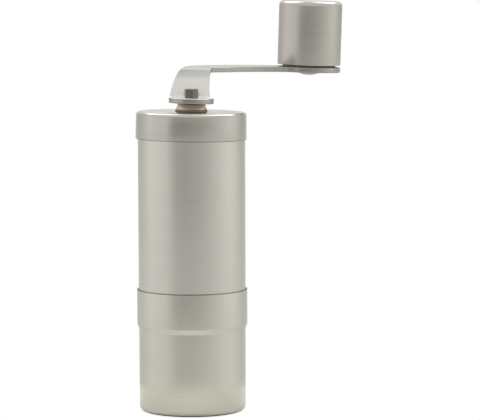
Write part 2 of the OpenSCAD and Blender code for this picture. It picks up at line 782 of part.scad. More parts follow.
// One stamped plate: round foot with a hex socket, folded riser, bowed arm, pad with the pin's hole
module crank_arm() {
    color(steel) on_shaft() difference() {
        union() {
            linear_extrude(plate_t) difference() {
                union() {
                    circle(r = foot_r);
                    translate([-riser_left, 0]) square([riser_left, fold_y]);
                }
                translate([-foot_d, fold_y]) square([2 * foot_d, foot_d]);
            }
            intersection() {
                translate([-foot_d, 0, 0]) rotate([90, 0, 90]) linear_extrude(2 * foot_d) fold_profile();
                translate([0, foot_d, 0]) rotate([90, 0, 0]) linear_extrude(2 * foot_d) riser_outline();
            }
            translate([0, 0, riser_h]) linear_extrude(plate_t) arm_outline();
        }
        rotate([0, 0, hex_turn - 90]) translate([0, 0, -cut])
            cylinder(r = socket_corner_r, h = plate_t + 2 * cut, $fn = 6);
        translate([pad_pos[0], pad_pos[1], riser_h - cut])
            cylinder(r = pin_r + seat_fit, h = plate_t + 2 * cut);
    }
}

// ---- Knob

// Shouldered pin, riveted under the pad, with a clip groove near its upper end
module knob_pin() {
    color(dark_steel) on_pad() rotate_extrude() polygon([
        [0, riser_h - pin_head_h],
        [pin_head_d / 2 - pin_head_h / 2, riser_h - pin_head_h],
        [pin_head_d / 2, riser_h - pin_head_h / 2],
        [pin_head_d / 2, riser_h],
        [pin_r, riser_h],
        [pin_r, pin_groove_z0],
        [pin_r - clip_groove, pin_groove_z0],
        [pin_r - clip_groove, pin_groove_z0 + clip_t],
        [pin_r, pin_groove_z0 + clip_t],
        [pin_r, pin_z1],
        [0, pin_z1]
    ]);
}

module knob_washer() {
    color(black_plastic) on_pad() washer(knob_washer_d / 2, pin_r + pin_fit, arm_z1, knob_washer_t);
}

module knob_clip() {
    on_pad() clip(pin_clip_r, pin_r - clip_groove, pin_groove_z0);
}

// Drawn steel can, open below
module knob_shell() {
    top = knob_z0 + knob_h;
    in_edge_r = knob_edge_r - knob_wall / 2;
    color(steel) on_pad() rotate_extrude() polygon(concat(
        [[knob_r - knob_wall, knob_z0], [knob_r, knob_z0]],
        arc([knob_r - knob_edge_r, top - knob_edge_r], knob_edge_r, 0, 90),
        [[0, top], [0, top - knob_wall]],
        arc([knob_r - knob_wall - in_edge_r, top - knob_wall - in_edge_r], in_edge_r, 90, 0)
    ));
}

// Moulded core that fills the shell and runs on the pin, with a pocket for the clip
module knob_core() {
    pocket_z0 = pin_groove_z0 - knob_top_gap;
    color(black_plastic) on_pad() rotate_extrude() polygon([
        [pin_r + pin_fit, knob_z0],
        [core_r, knob_z0],
        [core_r, knob_z0 + core_h - knob_edge_r],
        [core_r - knob_edge_r, knob_z0 + core_h],
        [pocket_d / 2, knob_z0 + core_h],
        [pocket_d / 2, pocket_z0],
        [pin_r + pin_fit, pocket_z0]
    ]);
}

catch_cup();
body_tube();
bearing_spider();
upper_bush();
burr_carrier();
lower_bush();
ring_burr();
burr_retainer();
retainer_screws();
spring_washer();
lid();
lid_collar();
collar_nut();
drive_shaft();
shaft_washer();
shaft_clip();
burr_spring();
cone_burr();
burr_driver();
detent_plate();
adjuster_nut();
crank_arm();
knob_pin();
knob_washer();
knob_clip();
knob_shell();
knob_core();
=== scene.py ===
import json
import math

import bmesh
import bpy
import numpy as np
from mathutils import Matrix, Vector


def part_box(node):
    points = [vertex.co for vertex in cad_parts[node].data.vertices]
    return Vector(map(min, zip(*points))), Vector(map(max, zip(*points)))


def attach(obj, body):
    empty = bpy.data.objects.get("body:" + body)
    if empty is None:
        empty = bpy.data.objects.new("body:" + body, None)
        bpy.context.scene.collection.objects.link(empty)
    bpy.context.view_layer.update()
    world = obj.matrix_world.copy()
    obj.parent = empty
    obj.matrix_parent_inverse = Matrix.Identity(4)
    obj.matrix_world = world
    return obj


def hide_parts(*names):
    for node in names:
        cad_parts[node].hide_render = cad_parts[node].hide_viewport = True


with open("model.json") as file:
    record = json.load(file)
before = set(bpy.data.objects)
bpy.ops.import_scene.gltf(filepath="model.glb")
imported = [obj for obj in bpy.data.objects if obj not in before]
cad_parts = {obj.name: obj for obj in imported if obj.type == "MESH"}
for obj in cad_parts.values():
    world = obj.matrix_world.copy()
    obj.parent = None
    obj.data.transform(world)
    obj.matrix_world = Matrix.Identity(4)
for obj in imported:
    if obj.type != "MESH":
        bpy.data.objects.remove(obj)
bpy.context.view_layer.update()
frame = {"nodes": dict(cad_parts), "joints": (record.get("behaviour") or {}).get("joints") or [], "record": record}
nodes = frame["nodes"]
joints = {joint["name"]: joint for joint in frame["joints"]}
scene = bpy.context.scene
mm = 0.001
weld = 0.002  # points of a piece that lie closer than this, in millimetres, become one
print("frame loaded:", len(nodes), "nodes")


def toLinear(hexColour):  # sRGB hex to the linear RGBA that sockets take
    srgb = [int(hexColour[i:i + 2], 16) / 255 for i in (1, 3, 5)]
    return [c / 12.92 if c <= 0.04045 else ((c + 0.055) / 1.055) ** 2.4 for c in srgb] + [1.0]


def addNode(tree, kind, inputs=None, **settings):  # one node with its settings, values and links
    made = tree.nodes.new(kind)
    for key, value in settings.items():
        setattr(made, key, value)
    for key, value in (inputs or {}).items():
        if isinstance(value, bpy.types.NodeSocket):
            tree.links.new(value, made.inputs[key])
        else:
            made.inputs[key].default_value = value
    return made


def gridFaces(rows, columns, closeRows=False, closeColumns=False):
    # quads between neighbouring grid points; a closed way joins its last point to its first
    i, j = np.meshgrid(
        np.arange(rows if closeRows else rows - 1),
        np.arange(columns if closeColumns else columns - 1),
        indexing="ij",
    )
    i, j = i.ravel(), j.ravel()
    iNext, jNext = (i + 1) % rows, (j + 1) % columns
    return np.stack([i * columns + j, iNext * columns + j, iNext * columns + jNext, i * columns + jNext], 1)


def makePiece(name, grids, body, replaced=(), crease=40, marks=None):
    # joins (points, faces) grids in millimetres into one closed mesh and hands it to its body;
    # marks gives each face the number of its material where a piece has two finishes
    points = np.concatenate([g[0].reshape(-1, 3) for g in grids]) * mm
    starts = np.cumsum([0] + [g[0].reshape(-1, 3).shape[0] for g in grids[:-1]])
    faces = np.concatenate([g[1] + start for g, start in zip(grids, starts)])
    mesh = bpy.data.meshes.new(name)
    mesh.from_pydata(points.tolist(), [], faces.tolist())
    if marks is not None:
        mesh.polygons.foreach_set("material_index", marks)
    shell = bmesh.new()
    shell.from_mesh(mesh)
    bmesh.ops.remove_doubles(shell, verts=shell.verts, dist=weld * mm)
    bmesh.ops.recalc_face_normals(shell, faces=shell.faces)
    shell.to_mesh(mesh)
    shell.free()
    mesh.shade_smooth()
    mesh.set_sharp_from_angle(angle=math.radians(crease))
    piece = bpy.data.objects.new(name, mesh)
    scene.collection.objects.link(piece)
    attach(piece, body)
    if replaced:
        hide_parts(*replaced)
    return piece


def rounded(corners, closed=False, steps=6):
    # a polyline of (r, z, radius) corners, each turned into an arc that touches both its sides
    corners = np.array(corners, float)
    path = []
    count = len(corners)
    for i, (r, z, radius) in enumerate(corners):
        here = np.array([r, z])
        if radius == 0 or (not closed and i in (0, count - 1)):
            path.append(here[None])
            continue
        before = corners[i - 1, :2] - here
        after = corners[(i + 1) % count, :2] - here
        before, after = before / np.linalg.norm(before), after / np.linalg.norm(after)
        half = math.acos(np.clip(before @ after, -1, 1)) / 2
        middle = here + (before + after) / np.linalg.norm(before + after) * radius / math.sin(half)
        first = here + before * radius / math.tan(half) - middle
        last = here + after * radius / math.tan(half) - middle
        a0, a1 = math.atan2(first[1], first[0]), math.atan2(last[1], last[0])
        a1 = a0 + (a1 - a0 + math.pi) % (2 * math.pi) - math.pi
        a = np.linspace(a0, a1, steps + 1)
        path.append(middle + radius * np.stack([np.cos(a), np.sin(a)], 1))
    return np.concatenate(path)


bodySteps = 192  # faces round the cup, the tube and the lid


def turned(profile, closed, around=bodySteps):
    # surface of revolution: each (r, z) of the profile goes round the axis as (r cos a, r sin a, z)
    a = np.arange(around) * 2 * math.pi / around
    r, z = profile[:, 0:1], profile[:, 1:2]
    points = np.stack([r * np.cos(a), r * np.sin(a), z + 0 * a], -1)
    return points, gridFaces(len(profile), around, closed, True)


def ringMarks(profile, closed, test, around=bodySteps):
    # material number 1 for every face of a turned surface whose profile step passes the test on its middle
    after = np.roll(profile, -1, 0) if closed else profile[1:]
    middle = (profile[:len(after)] + after) / 2
    return np.repeat(test(middle[:, 0], middle[:, 1]), around).astype(np.int32)


def boxMm(node):  # lowest and highest corner of a CAD node in millimetres
    low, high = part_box(node)
    return np.array(low) / mm, np.array(high) / mm


# cup, tube, lid and collar; all sizes of pieces are in millimetres

tubeLow, tubeHigh = boxMm("body_tube")
tubeR = tubeHigh[0]
cupHigh = boxMm("catch_cup")[1]
lidLow, lidHigh = boxMm("lid")
collarLow, collarHigh = boxMm("lid_collar")

cup = {
    "wall": 0.7, "floor": 0.9, "stepIn": 0.85, "stepHeight": 2.4, "floorEdge": 2.4, "stepEdge": 1.2,
    "dish": 0.4, "dishR": 18.5, "dishRun": 1, "dishEdge": 0.6,
    "fit": 0.05, "ledgeEdge": 0.15, "ledgeInner": 0.3,
    "lip": 0.3, "shadedLip": 0.42, "shadedDepth": 0.35, "shadedFoot": 0.7,
}


def catchCup():
    bandR = cupHigh[0]
    lowR = bandR - cup["stepIn"]
    shoulderZ = tubeLow[2]
    stepZ = shoulderZ - cup["wall"]
    bore = tubeR + cup["fit"]
    # the drawn cup's section: dished underside, wall, step, band and lip, then back down inside to the floor
    profile = rounded([
        (0, cup["dish"], 0),
        (cup["dishR"] - cup["dishRun"], cup["dish"], cup["dishEdge"]),
        (cup["dishR"], 0, cup["dishEdge"]),
        (lowR, 0, cup["floorEdge"]),
        (lowR, stepZ - cup["stepHeight"], cup["stepEdge"]),
        (bandR, stepZ, cup["stepEdge"]),
        (bandR, cupHigh[2], cup["lip"]),
        (bore, cupHigh[2], cup["lip"]),
        (bore, shoulderZ, cup["ledgeEdge"]),
        (lowR - cup["wall"], shoulderZ, cup["ledgeInner"]),
        (lowR - cup["wall"], cup["floor"] + cup["dish"], cup["floorEdge"] - cup["wall"]),
        (0, cup["floor"] + cup["dish"], 0),
    ])

    def shadedRims(r, z):  # painted shade: the lip's edge by the tube, and the foot's edge on the table
        lip = (z > cupHigh[2] - cup["shadedLip"]) & (r > bandR - cup["shadedDepth"])
        return lip | ((z < cup["shadedFoot"]) & (r > cup["dishR"]))

    marks = ringMarks(profile, False, shadedRims)
    return makePiece("cupShell", [turned(profile, False)], "cup", ["catch_cup"], marks=marks)


tube = {"wall": 0.8, "edge": 0.25, "topGap": 0.5}


def bodyTube():
    inner = tubeR - tube["wall"]
    top = tubeHigh[2] - tube["topGap"]
    # the tube's section: a plain wall with four broken edges
    profile = rounded([
        (tubeR, tubeLow[2], tube["edge"]), (tubeR, top, tube["edge"]),
        (inner, top, tube["edge"]), (inner, tubeLow[2], tube["edge"]),
    ], closed=True)
    return makePiece("tubeShell", [turned(profile, True)], "housing", ["body_tube"])


lid = {
    "wall": 0.7, "edge": 1.45, "innerEdge": 0.85, "lip": 0.25, "shadedLip": 0.3, "flare": 0.2, "crown": 0.4,
    "skirt": 0.2, "neckHole": 5.32, "tilt": 0.95, "tiltBack": 0.5,
}
deckZ = lidHigh[2] + lid["crown"]  # the drawn top stands a little proud of the nominal height
skirtZ = lidLow[2] - lid["skirt"]  # and its skirt ends a little below it


def askew(points):  # the lid sits a little askew: turned about Y, then about X, through its top's middle
    tilt, back = math.radians(lid["tilt"]), math.radians(lid["tiltBack"])
    x, y, z = points[..., 0], points[..., 1], points[..., 2] - lidHigh[2]
    x, z = x * math.cos(tilt) + z * math.sin(tilt), z * math.cos(tilt) - x * math.sin(tilt)
    y, z = y * math.cos(back) + z * math.sin(back), z * math.cos(back) - y * math.sin(back)
    return np.stack([x, y, lidHigh[2] + z], -1)


def lidCap():
    outer = lidHigh[0] - lid["flare"] / 2
    inner = outer - lid["wall"]
    # the drawn lid's section, closed round its wall: under the top, down inside the flared skirt,
    # up outside it and over the edge
    profile = rounded([
        (lid["neckHole"], deckZ - lid["wall"], 0),
        (inner, deckZ - lid["wall"], lid["innerEdge"]),
        (inner + lid["flare"], skirtZ, lid["lip"]),
        (outer + lid["flare"], skirtZ, lid["lip"]),
        (outer, deckZ, lid["edge"]),
        (lid["neckHole"], deckZ, 0),
    ], closed=True)
    points, faces = turned(profile, True)
    # painted shade: the skirt's lowest faces take a dark grey, standing in for the shade line where the lid meets
    # the tube
    marks = ringMarks(profile, True, lambda r, z: z < skirtZ + lid["shadedLip"])
    return makePiece("lidCap", [(askew(points), faces)], "lid", ["lid"], marks=marks)


collar = {
    "flangeR": 7.25, "flangeH": 0.8, "flangeEdge": 0.25, "footEdge": 0.15, "groove": 0.25, "grooveRun": 0.1,
    "topR": 6.35, "topRun": 0.1, "neckR": 5.3, "bore": 4.05, "boreEdge": 0.2, "edge": 0.35, "waist": 0.05,
    "coneRows": 9, "around": 128,
}


def lidCollar():
    # the cone above the flange is slightly hollow: its radius falls by a half sine of the waist's depth
    grooveZ = deckZ + collar["flangeH"]
    grooveR = collar["flangeR"] - collar["groove"]
    rise = np.linspace(0, 1, collar["coneRows"])
    coneTop = collarHigh[2] - collar["edge"]
    coneZ = grooveZ + collar["groove"] + (coneTop - grooveZ - collar["groove"]) * rise
    coneR = grooveR + (collar["topR"] - grooveR) * rise - collar["waist"] * np.sin(math.pi * rise)
    foot = rounded([
        (collar["bore"], collarLow[2], 0),
        (collar["neckR"], collarLow[2], collar["footEdge"]),
        (collar["neckR"], deckZ, 0),
        (collar["flangeR"], deckZ, collar["footEdge"]),
        (collar["flangeR"], grooveZ, collar["flangeEdge"]),
        (grooveR - collar["grooveRun"], grooveZ, 0),
    ])
    head = rounded([
        (collar["topR"] - collar["topRun"] / 5, coneTop + collar["topRun"] / 2, 0),
        (collar["topR"] - collar["topRun"], collarHigh[2], collar["edge"] / 2),
        (collar["bore"] + collar["boreEdge"], collarHigh[2], 0),
        (collar["bore"], collarHigh[2] - collar["boreEdge"], 0),
    ])
    profile = np.concatenate([foot, np.stack([coneR, coneZ], 1), head])
    points, faces = turned(profile, True, collar["around"])
    # painted shade: faces below the groove's bottom, the flange and the neck under it, take the darker bronze
    marks = ringMarks(profile, True, lambda r, z: z < grooveZ + collar["groove"] / 5, collar["around"])
    grids = [(askew(points), faces)]
    return makePiece("collarRing", grids, "lid", ["lid_collar"], marks=marks)


# shaft with its hexagonal end, flats and thread

shaftLow, shaftHigh = boxMm("drive_shaft")
shaft = {
    "r": 4.0, "hexFlats": 5.8, "hexLength": 6.5, "hexTurn": 9, "hexEdge": 0.12, "hexRound": 0.1, "hexRows": 8,
    "flats": 6.2, "flatsTop": 61, "flatsRows": 12, "clipZ": 113.6, "clipH": 0.8, "clipDepth": 0.6,
    "thread": 10.4, "threadPitch": 1.0, "threadDepth": 0.45, "threadRow": 0.1, "chamfer": 0.4,
    "shoulder": 0.01, "endRows": 6, "endFrom": 0.2, "around": 240,
}


def hexRadius(angles, flats, turn):  # a hexagon as a radius over the angle, turned by so many degrees
    facet = (angles - math.radians(turn) + math.pi / 6) % (math.pi / 3) - math.pi / 6
    return flats / 2 / np.cos(facet)


def driveShaft():
    # radius over angle and height: round bar, cut by flats, thread and clip groove, hex above its shoulder;
    # two rows a hair apart make each square shoulder
    seatZ = shaftHigh[2] - shaft["hexLength"]
    threadTop = shaftLow[2] + shaft["thread"]
    clipTop = shaft["clipZ"] + shaft["clipH"]
    hair = shaft["shoulder"]
    endWay = np.linspace(shaft["endFrom"], 1, shaft["endRows"])
    z = np.concatenate([
        [shaftLow[2]],
        np.arange(shaftLow[2] + 2 * hair, threadTop, shaft["threadRow"]),
        np.linspace(threadTop, shaft["flatsTop"], shaft["flatsRows"]),
        [shaft["flatsTop"] + hair, shaft["clipZ"] - hair, shaft["clipZ"]],
        [clipTop, clipTop + hair, seatZ - hair],
        np.linspace(seatZ, shaftHigh[2] - shaft["hexEdge"], shaft["hexRows"]),
        shaftHigh[2] - shaft["hexEdge"] * (1 - np.sin(endWay * math.pi / 2)),
    ])[:, None]
    a = (np.arange(shaft["around"]) * 2 * math.pi / shaft["around"])[None]
    r = np.full((z.shape[0], a.shape[1]), shaft["r"])
    endwise = np.clip((z - shaftLow[2]) / shaft["chamfer"], 0, 1)
    wave = np.abs(((z / shaft["threadPitch"] - a / (2 * math.pi)) % 1) * 2 - 1)
    r = np.where(z < threadTop, r - shaft["chamfer"] * (1 - endwise) - shaft["threadDepth"] * wave, r)
    flatR = shaft["flats"] / 2 / np.maximum(np.abs(np.cos(a)), 0.05)  # 0.05 only keeps it finite
    r = np.where(z <= shaft["flatsTop"], np.minimum(r, flatR), r)
    r = np.where((z >= shaft["clipZ"]) & (z <= clipTop), shaft["r"] - shaft["clipDepth"], r)
    hexR = hexRadius(a, shaft["hexFlats"], shaft["hexTurn"])
    cornerR = shaft["hexFlats"] / 2 / math.cos(math.pi / 6)
    rise = np.clip((shaftHigh[2] - z) / shaft["hexEdge"], 0, 1)
    topR = cornerR - shaft["hexEdge"] * (1 - np.sqrt(1 - (1 - rise) ** 2)) - shaft["hexRound"]
    r = np.where(z >= seatZ, np.minimum(hexR, topR), r)
    points = np.stack([r * np.cos(a), r * np.sin(a), z + 0 * a], -1)
    onAxis = [0, 0, 1]  # closes both ends by a row drawn in to the axis
    points = np.concatenate([points[0:1] * onAxis, points, points[-1:] * onAxis])
    faces = gridFaces(points.shape[0], points.shape[1], False, True)
    marks = np.zeros(len(faces), np.int32)
    marks[-(shaft["endRows"] + 1) * shaft["around"]:] = 1  # the turned end face and its broken edge
    grids = [(points, faces)]
    return makePiece("shaftBar", grids, "shaft", ["drive_shaft"], crease=30, marks=marks)


# crank, worked out flat and then folded

crank = {
    "t": 2.3, "edge": 0.28,
    "footR": 10.15, "footRight": (-90, 17), "footLeft": (168, 270),
    "riserH": 13.4, "riserLean": 12, "foldR": 0.8, "upperFoldR": 2.0, "foldY": 3.9,
    # left edge of the riser: height above the foot's underside and distance from the shaft
    "leftEdge": [
        (1.15, 10.15), (2.5, 9.85), (6.7, 9.0), (9.5, 8.0), (10.9, 7.5), (12.06, 6.95),
        (13.16, 6.45), (13.67, 5.8), (14.18, 4.8), (14.5, 3.9),
    ],
    "right": 7.8, "rightFlare": 0.55, "flareFrom": 1, "flareRun": 5, "cornerR": 11, "cornerRun": 5.2,
    "armLeft": 4.7, "armW": 19, "bow": 8, "widening": 0.25, "armFrom": 0.125, "armTo": 0.8,
    "padR": 14.6, "padGap": 0.2, "socketFlats": 5.96, "socketTurn": 9,
    # how finely each stretch of the outline is cut, and the rounded and the flat part of each face
    "riserRows": 72, "bridgeRows": 14, "armRows": 60, "footRows": (44, 42), "padRows": 84,
    "edgeRows": 6, "faceRows": 9, "wallRows": 4, "softLeft": 4, "softRight": 3,
}
knobAxis = np.array(joints["knob_spin"]["axis"])
knobSeat = np.array(joints["knob_spin"]["pos_m"]) / mm
lean = math.atan2(knobAxis[0], knobAxis[2])
armTop = crank["riserH"] + crank["t"]
padX = (knobSeat[0] - armTop * math.sin(lean)) / math.cos(lean)
padPos = np.array([padX, knobSeat[1]])
crankZ = knobSeat[2] + padX * math.sin(lean) - armTop * math.cos(lean)


def onShaft(points):  # from the crank's own frame to the shaft's seat, leaning towards the knob
    x, y, z = points[..., 0], points[..., 1], points[..., 2]
    return np.stack([
        x * math.cos(lean) + z * math.sin(lean), y, crankZ - x * math.sin(lean) + z * math.cos(lean),
    ], -1)


def onPad(points):  # from the knob's axis to the pad's place
    return onShaft(points + np.array([padPos[0], padPos[1], 0]))


lowMid = crank["foldR"] + crank["t"] / 2  # radius of the plate's middle in each fold
highMid = crank["upperFoldR"] + crank["t"] / 2
foldTurn = math.radians(90 - crank["riserLean"])
riserTilt = math.radians(crank["riserLean"])
riserLength = (crank["riserH"] - (lowMid + highMid) * (1 - math.sin(riserTilt))) / math.cos(riserTilt)
upperY = crank["foldY"] + (lowMid + highMid) * math.cos(riserTilt) + riserLength * math.sin(riserTilt)
riserStart = crank["foldY"] + lowMid * foldTurn
riserEnd = riserStart + riserLength
armStart = riserEnd + highMid * foldTurn


def folded(x, d, w):
    # x across, d along the developed plate, w through its thickness: flat foot, fold, riser, fold, flat arm
    lowAngle = -math.pi / 2 + np.clip((d - crank["foldY"]) / lowMid, 0, foldTurn)
    highAngle = math.pi - riserTilt - np.clip((d - riserEnd) / highMid, 0, foldTurn)
    lowY = crank["foldY"] + (lowMid - w) * np.cos(lowAngle)
    lowZ = crank["foldR"] + crank["t"] + (lowMid - w) * np.sin(lowAngle)
    run = np.clip(d - riserStart, 0, riserLength)
    highY = upperY + (highMid + w) * np.cos(highAngle)
    highZ = crank["riserH"] - crank["upperFoldR"] + (highMid + w) * np.sin(highAngle)
    y = np.where(d < riserEnd, lowY + run * math.sin(riserTilt), highY)
    z = np.where(d < riserEnd, lowZ + run * math.cos(riserTilt), highZ)
    y = np.where(d < crank["foldY"], d, y)
    z = np.where(d < crank["foldY"], crank["t"] / 2 + w, z)
    y = np.where(d > armStart, upperY + d - armStart, y)
    z = np.where(d > armStart, crank["riserH"] + crank["t"] / 2 + w, z)
    return np.stack([x, y, z], -1)


def softened(values, reach):  # moving average that keeps both ends, reach in samples
    kernel = np.ones(2 * reach + 1) / (2 * reach + 1)
    padded = np.concatenate([
        2 * values[0] - values[reach:0:-1], values, 2 * values[-1] - values[-2:-reach - 2:-1],
    ])
    return np.convolve(padded, kernel, "valid")


def crankEdges():
    # left and right edge of the developed plate, row by row: up the riser, over the fold, along the bowed arm
    heights = np.linspace(crank["foldY"], armStart, crank["riserRows"])
    z = folded(0 * heights, heights, 0 * heights)[:, 2]
    rise = np.clip(heights - armStart + crank["cornerRun"], 0, None)
    flare = np.clip(1 - (z - crank["flareFrom"]) / crank["flareRun"], 0, 1)
    right = crank["right"] + crank["rightFlare"] * flare
    right = right + crank["cornerR"] - np.sqrt(crank["cornerR"] ** 2 - rise ** 2)
    left = -np.interp(z, *zip(*crank["leftEdge"]))
    chord = padPos - np.array([(crank["right"] - crank["armLeft"]) / 2, upperY])
    chordLength = np.linalg.norm(chord)
    chordDir = math.atan2(chord[1], chord[0])
    bowR = (chordLength ** 2 / 4 + crank["bow"] ** 2) / (2 * crank["bow"])
    bowAngle = math.asin(chordLength / 2 / bowR)
    inwards = np.array([math.sin(chordDir), -math.cos(chordDir)])
    bowMiddle = padPos - chord / 2 + (bowR - crank["bow"]) * inwards
    neckHalf = (crank["right"] + crank["armLeft"]) / 2 * math.sin(chordDir + bowAngle)

    def armEdge(side, s):  # the bowed middle line, half the arm's width to one side
        a = math.pi / 2 + chordDir + bowAngle - 2 * bowAngle * s
        wider = np.sin(np.clip(s / crank["widening"], 0, 1) * math.pi / 2)
        half = neckHalf + (crank["armW"] / 2 - neckHalf) * wider
        out = ((bowR + side * half) * np.stack([np.cos(a), np.sin(a)])).T
        return bowMiddle + out + [0, armStart - upperY]

    # between riser and arm each side is bridged: the left one bulges by a square root,
    # the right one is straight
    rows = np.linspace(crank["armFrom"], crank["armTo"], crank["armRows"])
    bridge = np.linspace(0, 1, crank["bridgeRows"])[1:-1, None]
    corner = {1: np.array([left[-1], armStart]), -1: np.array([right[-1], armStart])}
    way = np.linspace(0, crank["armFrom"], crank["bridgeRows"])[1:-1]
    far = armEdge(1, way) * bridge ** 0.5 + corner[1] * (1 - bridge ** 0.5)
    near = corner[-1] * (1 - bridge) + armEdge(-1, rows[:1]) * bridge
    left = np.concatenate([np.stack([left, heights], 1), far, armEdge(1, rows)])
    right = np.concatenate([np.stack([right, heights], 1), near, armEdge(-1, rows)])
    left = np.stack([softened(values, crank["softLeft"]) for values in left.T], 1)
    right = np.stack([softened(values, crank["softRight"]) for values in right.T], 1)
    return left, right, padPos + [0, armStart - upperY]


def crankPlate():
    # one closed outline round foot, riser, arm and pad, carried over its rounded edge on both faces;
    # from there each face runs in straight lines to the socket, the arm's middle line and the pad's
    # middle, and all of it is folded
    left, right, pad = crankEdges()
    footAngles = [
        np.radians(np.linspace(*crank[side], count))
        for side, count in zip(("footRight", "footLeft"), crank["footRows"])
    ]
    foot = [crank["footR"] * np.stack([np.cos(a), np.sin(a)], 1) for a in footAngles]
    swing = [math.atan2(*(edge[-1] - pad)[::-1]) for edge in (right, left)]
    lastSwing = swing[1] + (2 * math.pi if swing[1] < swing[0] else 0)
    around = np.linspace(swing[0] + crank["padGap"], lastSwing - crank["padGap"], crank["padRows"])
    rim = pad + crank["padR"] * np.stack([np.cos(around), np.sin(around)], 1)
    outline = np.concatenate([foot[0], right, rim, left[::-1], foot[1]])

    def socket(start, count):  # half the hexagonal hole
        a = np.linspace(start, start + math.pi, count)
        r = hexRadius(a, crank["socketFlats"], crank["socketTurn"])
        return r[:, None] * np.stack([np.cos(a), np.sin(a)], 1)

    holes = [socket(-math.pi / 2, len(foot[0])), socket(math.pi / 2, len(foot[1]))]
    spine = (left + right) / 2
    partner = np.concatenate([holes[0], spine, np.repeat(pad[None], len(rim), 0), spine[::-1], holes[1]])

    tangent = np.roll(outline, -1, 0) - np.roll(outline, 1, 0)
    inward = np.stack([-tangent[:, 1], tangent[:, 0]], 1) / np.linalg.norm(tangent, axis=1)[:, None]
    bend = np.linspace(0, math.pi / 2, crank["edgeRows"])
    edge, half = crank["edge"], crank["t"] / 2
    inset = edge * (1 - np.sin(bend))  # from the flat face over the rounded edge to the rim
    drop = edge * (1 - np.cos(bend))
    share = np.linspace(1, 0, crank["faceRows"])[:-1]  # from the partner out to the edge
    rings, depths = [], []
    start = outline + inward * edge
    for t in share:
        rings.append(start * (1 - t) + partner * t)
        depths.append(half)
    for i, d in zip(inset, drop):
        rings.append(outline + inward * i)
        depths.append(half - d)
    rings, depths = rings + rings[::-1], depths + [-d for d in depths[::-1]]
    rings, depths = np.array(rings), np.array(depths)[:, None] + np.zeros(len(outline))
    skin = onShaft(folded(rings[..., 0], rings[..., 1], depths))
    loop = np.concatenate([holes[0], holes[1][1:-1]])
    wallDepths = np.linspace(half, -half, crank["wallRows"])
    wall = np.stack([folded(loop[:, 0], loop[:, 1], w + 0 * loop[:, 0]) for w in wallDepths])
    grids = [
        (skin, gridFaces(skin.shape[0], skin.shape[1], False, True)),
        (onShaft(wall), gridFaces(wall.shape[0], wall.shape[1], False, True)),
    ]
    strip = np.arange(skin.shape[0] - 1)[:, None] + np.zeros((1, skin.shape[1]), int)
    cutEdge = np.abs(strip - (skin.shape[0] - 2) / 2) < len(bend) - 2  # sheared, between both rounded rims
    marks = np.concatenate([cutEdge.ravel(), np.ones(len(grids[1][1]), bool)]).astype(np.int32)
    return makePiece("crankPlate", grids, "crank", ["crank_arm"], crease=35, marks=marks)


# knob, its pin and washer

knob = {"r": 14.6, "h": 29.6, "wall": 0.8, "edge": 2.4, "lip": 0.3, "around": 160, "edgeSteps": 8}
washer = {"t": 1.0, "r": 12.25, "fit": 0.05, "boreEdge": 0.1, "rimEdge": 0.25, "around": 128}
knobZ = armTop + washer["t"]


def knobShell():
    top = knobZ + knob["h"]
    inner = knob["r"] - knob["wall"]
    # a drawn cap's section: under the top, down inside, round the open lip, up outside and over the soft edge
    profile = rounded([
        (0, top - knob["wall"], 0),
        (inner, top - knob["wall"], knob["edge"] - knob["wall"] / 2),
        (inner, knobZ, knob["lip"]),
        (knob["r"], knobZ, knob["lip"]),
        (knob["r"], top, knob["edge"]),
        (0, top, 0),
    ], steps=knob["edgeSteps"])
    points, faces = turned(profile, False, knob["around"])
    return makePiece("knobShell", [(onPad(points), faces)], "knob", ["knob_shell"])


pin = {
    "r": 3.0, "headR": 4.5, "headH": 1.5, "headRim": 0.45, "headEdge": 0.12, "topGap": 3.5, "tail": 1.2,
    "topEdge": 0.4, "clipT": 0.8, "groove": 0.6, "around": 96,
    "domeShare": 0.55, "domePower": 2.4, "domeRows": 9,
}


def knobPin():
    under = crank["riserH"]
    top = knobZ + knob["h"] - knob["wall"] - pin["topGap"]
    groove = top - pin["tail"] - pin["clipT"]
    grooveR = pin["r"] - pin["groove"]
    # the head's dome rises from its middle with a power of the radius, to a share of the head's height
    dome = np.linspace(0, 1, pin["domeRows"])
    domeZ = under - pin["headH"] + pin["headH"] * pin["domeShare"] * dome ** pin["domePower"]
    head = np.stack([pin["headR"] * dome, domeZ], 1)
    stem = rounded([
        (pin["headR"], under - pin["headRim"], 0), (pin["headR"], under, pin["headEdge"]),
        (pin["r"], under, 0), (pin["r"], groove, 0), (grooveR, groove, 0),
        (grooveR, groove + pin["clipT"], 0), (pin["r"], groove + pin["clipT"], 0),
        (pin["r"], top, pin["topEdge"]), (0, top, 0),
    ])
    points, faces = turned(np.concatenate([head, stem]), False, pin["around"])
    return makePiece("knobPin", [(onPad(points), faces)], "crank", ["knob_pin"])


def knobWasher():
    # a flat ring's section with broken edges
    hole = pin["r"] + washer["fit"]
    profile = rounded([
        (hole, armTop, washer["boreEdge"]), (washer["r"], armTop, washer["rimEdge"]),
        (washer["r"], knobZ, washer["rimEdge"]), (hole, knobZ, washer["boreEdge"]),
    ], closed=True)
    points, faces = turned(profile, True, washer["around"])
    return makePiece("knobWasher", [(onPad(points), faces)], "crank", ["knob_washer"])


pieces = {}
for build in (catchCup, bodyTube, lidCap, lidCollar, driveShaft, crankPlate, knobShell, knobPin, knobWasher):
    piece = build()
    pieces[piece.name] = piece
print("pieces built:", ", ".join(pieces))


# materials

noiseRange = {"From Min": 0.3, "From Max": 0.7}  # the part of a noise pattern that holds most of its values


def startMaterial(name):  # a new material with an empty node tree
    material = bpy.data.materials.new(name)
    material.use_nodes = True
    material.node_tree.nodes.clear()
    return material, material.node_tree


